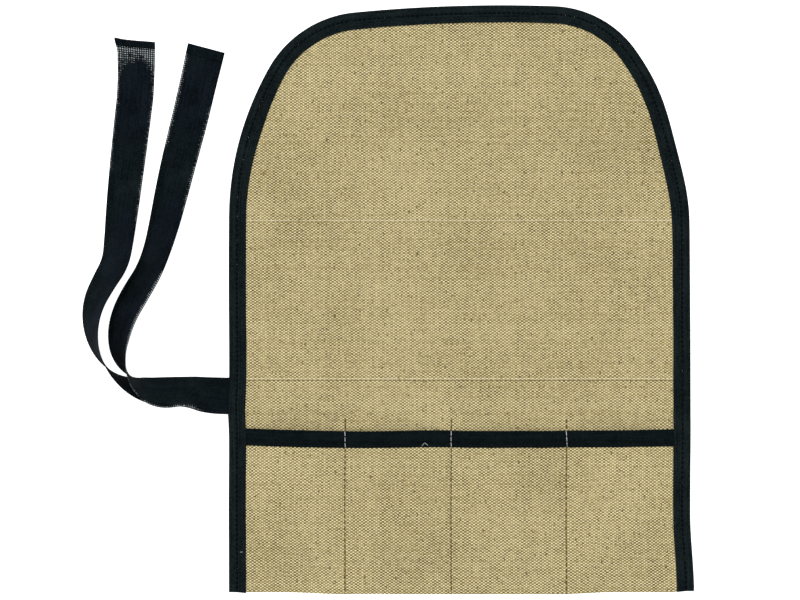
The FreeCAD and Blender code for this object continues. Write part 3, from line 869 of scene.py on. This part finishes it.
def specks(name, holes, finish, share, seed):
    """Leave a speck of the pale lower thread showing at some of the needle holes."""
    rng = np.random.default_rng(seed)
    corners, rings = 6, (-0.9, 0.0, 0.9)
    ball = np.array([(math.cos(a) * math.cos(b), math.sin(a) * math.cos(b), math.sin(b))
                     for b in rings for a in np.arange(corners) * 2 * math.pi / corners])
    points, flat, faces = [], [], []
    for hole in holes[rng.random(len(holes)) < share]:
        centre = hole + np.array([*rng.normal(0, 0.08 * MM, 2), 0.04 * MM])
        faces += tube_faces(len(points), len(rings), corners)
        points += list(centre + ball * rng.uniform(0.09, 0.20) * MM)
        flat += [(len(faces) * STITCH, corner[0], len(faces)) for corner in ball]
    return make_mesh(name, np.array(points), faces, np.array(flat), finish)


def edge_holes(under):
    """Return the needle holes of the binding's seam, on its top or its under side."""
    walk = EdgeWalk(STITCH / 4)
    sewn = walk.inset(SEAM_INSET)
    along = np.arange(2, walk.length[-1] / STITCH - 1) * STITCH
    x, y = (np.interp(along, walk.length, sewn[:, axis]) for axis in (0, 1))
    return lay(x, y, UNDER_SEAM_LEVEL if under else layers_under(y) + TAPE - 0.02 * MM)


def row_holes(start, end, level, shift=None, sway=0.0, stitch=LONG_STITCH):
    """Return needle holes along a straight row on a surface, whose y may be shifted."""
    start, end = np.array(start), np.array(end)
    count = round(np.linalg.norm(end - start) / stitch)
    place = start + (end - start) * np.linspace(0, 1, count + 1)[:, None]
    x, y = place[:, 0], place[:, 1]
    drop = 0 if shift is None else shift(x, y)
    return lay(x + sway * rumple(x, y, 12 * MM, 0.5), y + drop, level(x, y))


def mouth_top(x, y):
    """Return the level of the top of the mouth's binding."""
    return pocket_height(x, y) + CLOTH / 2 + TAPE


def pocket_top(x, y):
    """Return the level of the pocket front's outer face."""
    return pocket_height(x, y) + CLOTH / 2


# --- ties ---

def spline_points(points):
    """Return the points that a smooth curve with these control points runs through."""
    data = bpy.data.curves.new("route", "CURVE")
    data.dimensions = "3D"
    spline = data.splines.new("NURBS")
    spline.points.add(len(points) - 1)
    for held, point in zip(spline.points, points):
        held.co = (*point, 1)
    spline.order_u = 3
    spline.use_endpoint_u = True
    holder = bpy.data.objects.new("route", data)
    bpy.context.collection.objects.link(holder)
    mesh = bpy.data.meshes.new_from_object(holder)
    found = np.array([vertex.co for vertex in mesh.vertices])
    bpy.data.objects.remove(holder)
    bpy.data.meshes.remove(mesh)
    return found


def tie_path(route):
    """Return the middle line of a tie, its tilt and its length so far, at close steps."""
    line = spline_points([(x, y, edge) for x, y, edge, tilt in route])
    tilts = spline_points([(tilt * MM, 0, 0) for x, y, edge, tilt in route])[:, 0] / MM
    rise = np.sin(np.radians(tilts)) * TAPE_WIDTH / 2
    line[:, 2] += abs(rise) + TAPE / 2
    length = np.concatenate([[0], np.cumsum(np.linalg.norm(np.diff(line, axis=0), axis=1))])
    steps = np.arange(0, length[-1], TIE_STEP)
    line = np.stack([np.interp(steps, length, line[:, axis]) for axis in range(3)], axis=-1)
    return line, np.radians(np.interp(steps, length, tilts))[:, None], steps[:, None]


def tie_lint_and_sheen(steps, share, folded, worn_end, frays):
    """Return how pale a tie is painted along one of its lengthwise lines: lint and painted sheen below its
    hem, and fraying and painted highlight along its selvedges.
    """
    # Lint and painted sheen on the tie's end below its hem, where the end bends to the light.
    lint = worn_end * (1 - smooth_step(folded - steps, -3 * MM, (19 + 25 * share ** 2) * MM))
    # Fraying and painted highlight where a lifted selvedge catches the light.
    for start, end, side, amount in frays:
        inside = smooth_step(steps, start, start + 12 * MM) * (1 - smooth_step(steps, end - 12 * MM, end))
        lint = np.maximum(lint, amount * inside * smooth_step(share * side, 0.70, 0.95))
    return lint[:, 0]


def make_tie(name, route, finish, hem_depth, layer, skew, corner, worn_end, frays):
    """Make a tie: flat tape that turns on edge, lies over and ends in a folded hem."""
    line, tilt, steps = tie_path(route)
    total = steps[-1, 0]
    run = np.gradient(line, axis=0)
    run = run / np.linalg.norm(run, axis=1, keepdims=True)
    level = np.cross((0, 0, 1), run)
    level = level / np.linalg.norm(level, axis=1, keepdims=True)
    across = level * np.cos(tilt) + np.cross(run, level) * np.sin(tilt)
    through = np.cross(run, across)
    picots = PICOT_SIZE * np.sin(2 * math.pi * steps / PICOT_PITCH)
    last = smooth_step(steps, total - 30 * MM, total - 4 * MM)
    spread = TIE_SPREAD + TIE_END_SPREAD * last
    tip = smooth_step(steps, total - 9 * MM, total) * corner
    grid, lint, shares = [], [], np.array([-1, -0.965, -0.9, -0.75, -0.5, -0.25, 0])
    shares = np.concatenate([shares, -shares[-2::-1]])
    for share in shares:
        reach = share * TAPE_WIDTH / 2 * spread + np.sign(share) * picots * (abs(share) > 0.99)
        bow = 0.5 * MM * (0.5 - share ** 2) * np.sin(tilt) ** 2
        sheared = run * (last * share * skew / 2) + (run * 0.6 - across) * tip * max(0, -share) ** 3
        ripple = 0.25 * MM * abs(rumple(steps, share, 26 * MM, layer)) * smooth_step(steps, 0.06, 0.11)
        grid.append(line + across * reach + through * bow + sheared + np.array([0, 0, 1]) * ripple)
        lint.append(tie_lint_and_sheen(steps, share, total - hem_depth, worn_end, frays))
    flat = [np.column_stack([steps, np.full_like(steps, (share + 1) * TAPE_WIDTH / 2)]) for share in shares]
    grid, flat, lint = np.array(grid), np.array(flat), np.array(lint)
    hem = hem_rows(grid, steps[:, 0], run[-1], hem_depth)
    hem_flat = np.stack([flat[:, -1] + (number * HEM_STEP * MM, 0) for number in range(len(hem))], axis=1)
    grid = np.concatenate([grid, np.stack(hem, axis=1)], axis=1)
    flat = np.concatenate([flat, hem_flat], axis=1)
    lint = np.concatenate([lint, np.zeros((len(shares), len(hem)))], axis=1)
    sewn = len(line) - 1 - round((hem_depth - 1 * MM) / (steps[1, 0] - steps[0, 0]))
    holes = np.linspace(grid[0, sewn], grid[-1, sewn], 10)[1:-1] + np.array([0, 0, HEM_STITCH_LIFT])
    return cloth(name, grid, flat, TAPE, finish, lint), line, holes


def hem_rows(grid, steps, run, depth):
    """Return rows of points that fold the end of a tape back over itself."""
    bend, last = 0.4 * MM, grid[:, -1]
    rows = []
    for degrees in (-50, -10, 30, 70):
        angle = math.radians(degrees)
        rows.append(last + run * bend * math.cos(angle) + np.array([0, 0, bend * (1 + math.sin(angle))]))
    for share in (0.08, 0.3, 0.55, 0.8, 1.0):
        height = 2 * bend - (2 * bend - TAPE * 1.04) * smooth_step(share, 0.0, 0.9)
        nearest = np.argmin(abs(steps - steps[-1] + depth * share))
        rows.append(grid[:, nearest] + np.array([0, 0, height]))
    return rows


# --- seams and bench ---

def sew_across(name, seam, finish, radius):
    """Sew one seam across the canvas."""
    y = seam + SEAM_LIFT
    holes = row_holes((-SEAM_HALF, y), (SEAM_HALF, y), canvas_top, stitch=STITCH)
    return stitches(name, holes, finish, radius)


def sew_mouth(finish):
    """Sew down the mouth's binding, a little sunk in its tape."""
    holes = row_holes((-SEAM_HALF, MOUTH_SEAM), (SEAM_HALF, MOUTH_SEAM), mouth_top, mouth_sag)
    holes = holes - np.array([0, 0, MOUTH_STITCH_SINK])
    return stitches("mouth_seam_stitches", holes, finish, MOUTH_THREAD)


def sew_divider(count, x, finish, over_finish):
    """Sew one divider in three runs: up the pocket, over its mouth and on the canvas above."""
    sewn = row_holes((x, FOOT + DIVIDER_START), (x, MOUTH_FOOT), pocket_top, mouth_sag)
    over = row_holes((x, MOUTH_FOOT), (x, MOUTH_EDGE), mouth_top, mouth_sag, 0.9 * MM, STITCH)
    head = row_holes((x, MOUTH_EDGE + HEAD_START), (x, DIVIDER_HEAD), canvas_top)
    return (stitches(f"divider_{count}_stitches", sewn, finish, DIVIDER_THREAD),
            stitches(f"divider_{count}_over_mouth", over, over_finish, OVER_MOUTH_THREAD),
            stitches(f"divider_{count}_head", head, finish, DIVIDER_THREAD))


def make_stray_threads(finish):
    """Make the loose threads that lie on the left binding and on the mouth's binding."""
    ends = np.array(STRAY_ENDS) * MM
    on_side = layers_under(ends[:2, 1]) + TAPE + 0.35 * MM
    on_mouth = mouth_top(*ends[2:].T) + 0.25 * MM
    level = np.concatenate([on_side, on_mouth])
    return stitches("stray_threads", lay(*ends.T, level), finish, STRAY_THREAD, pairs=True)


def make_bench():
    """Make the wide white bench that the roll lies on."""
    mesh = bpy.data.meshes.new("bench")
    corners = [(x * BENCH_HALF, y * BENCH_HALF, 0) for x, y in ((-1, -1), (1, -1), (1, 1), (-1, 1))]
    mesh.from_pydata(corners, [], [(0, 1, 2, 3)])
    mesh.materials.append(bench_finish())
    made = bpy.data.objects.new("bench", mesh)
    bpy.context.collection.objects.link(made)
    return made


# --- making the roll ---

set_camera()
set_light()

canvas = canvas_finish()
edge_tape = tape_finish("black_edge_tape", *EDGE_TAPE_TONES, 0.6, sewn=True)
mouth_tape = tape_finish("black_mouth_tape", *MOUTH_TAPE_TONES, 0.6)
tie_tape = tape_finish("black_tie_tape", *TIE_TAPE_TONES, 1.0, loose=True)
black_thread = thread_finish("black_sewing_thread", *BLACK_THREAD_TONES, 0.0, **BLACK_COTTON)
# The divider thread is painted dark as shade of its needle holes.
divider_thread_shade = thread_finish("dark_sewing_thread", *DIVIDER_THREAD_SHADE_TONES, 0.02)
natural_thread = thread_finish("natural_sewing_thread", *NATURAL_THREAD_TONES)
pale_thread = thread_finish("pale_bobbin_thread", *PALE_THREAD_TONES)

# The outer tie's end is painted pale with lint and painted sheen; the inner tie's end is not.
outer_tie, outer_line, outer_holes = make_tie("outer_tie", OUTER_TIE_ROUTE, tie_tape,
                                             OUTER_HEM, 11.5, -2.4 * MM, 2.0 * MM, 1.05, OUTER_FRAYS_AND_HIGHLIGHTS)
inner_tie, inner_line, inner_holes = make_tie("inner_tie", INNER_TIE_ROUTE, tie_tape,
                                             INNER_HEM, 13.5, -0.8 * MM, 0.0, 0.0, INNER_FRAYS_AND_HIGHLIGHTS)
outer_hem = stitches("outer_hem_stitches", outer_holes, black_thread)
inner_hem = stitches("inner_hem_stitches", inner_holes, black_thread)

main_canvas = make_canvas(canvas)
back_panel = make_back_panel(canvas)
pocket = make_pocket(canvas)
edge_binding = make_edge_binding(edge_tape)
mouth_binding = make_mouth_binding(mouth_tape)

edge_seam = stitches("edge_seam_stitches", edge_holes(False), black_thread, EDGE_THREAD)
edge_specks = specks("edge_seam_specks", edge_holes(False), pale_thread, 0.16, 4)
under_seam = stitches("edge_seam_under_stitches", edge_holes(True), black_thread, UNDER_THREAD,
                      (0.0, 0.0, -1.0))
upper_seam = sew_across("upper_seam_stitches", UPPER_SEAM, natural_thread, UPPER_THREAD)
lower_seam = sew_across("lower_seam_stitches", LOWER_SEAM, natural_thread, LOWER_THREAD)
mouth_seam = sew_mouth(black_thread)
divider_stitches = [sew_divider(count, x, divider_thread_shade, pale_thread)
                    for count, x in enumerate(DIVIDERS, start=1)]
stray = make_stray_threads(pale_thread)
bench = make_bench()

# --- what each piece rides on; the frame's parts they stand for are hidden ---

for piece, slot in ((main_canvas, "canvas"), (edge_binding, "tape"), (edge_seam, "black_thread"),
                    (edge_specks, "natural_thread"), (under_seam, "black_thread")):
    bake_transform(piece)

riders = [(stray, "natural_thread"), (back_panel, "canvas"), (pocket, "canvas"),
          (mouth_binding, "tape"), (outer_tie, "tape"), (inner_tie, "tape"),
          (outer_hem, "black_thread"), (inner_hem, "black_thread"), (mouth_seam, "black_thread"),
          (upper_seam, "natural_thread"), (lower_seam, "natural_thread")]
for count, (sewn, over, head) in enumerate(divider_stitches, start=1):
    riders += [(sewn, "black_thread"), (over, "natural_thread"), (head, "black_thread")]
    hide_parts(f"thread_divider_{count}")
for piece, slot in riders:
    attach(piece, "roll_body")

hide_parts("canvas_back", "canvas_flap")
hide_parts("back_panel")
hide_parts("pocket_front")
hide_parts("binding_left", "binding_right", "binding_flap")
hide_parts("pocket_binding")
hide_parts("tie_outer")
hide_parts("tie_inner")
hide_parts("thread_hem_outer")
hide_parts("thread_hem_inner")
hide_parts("thread_side_left", "thread_side_right", "thread_flap_edge")
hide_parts("thread_pocket_mouth")
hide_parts("thread_upper_seam")
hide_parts("thread_lower_seam")

float(EdgeWalk(STITCH).length[-1])
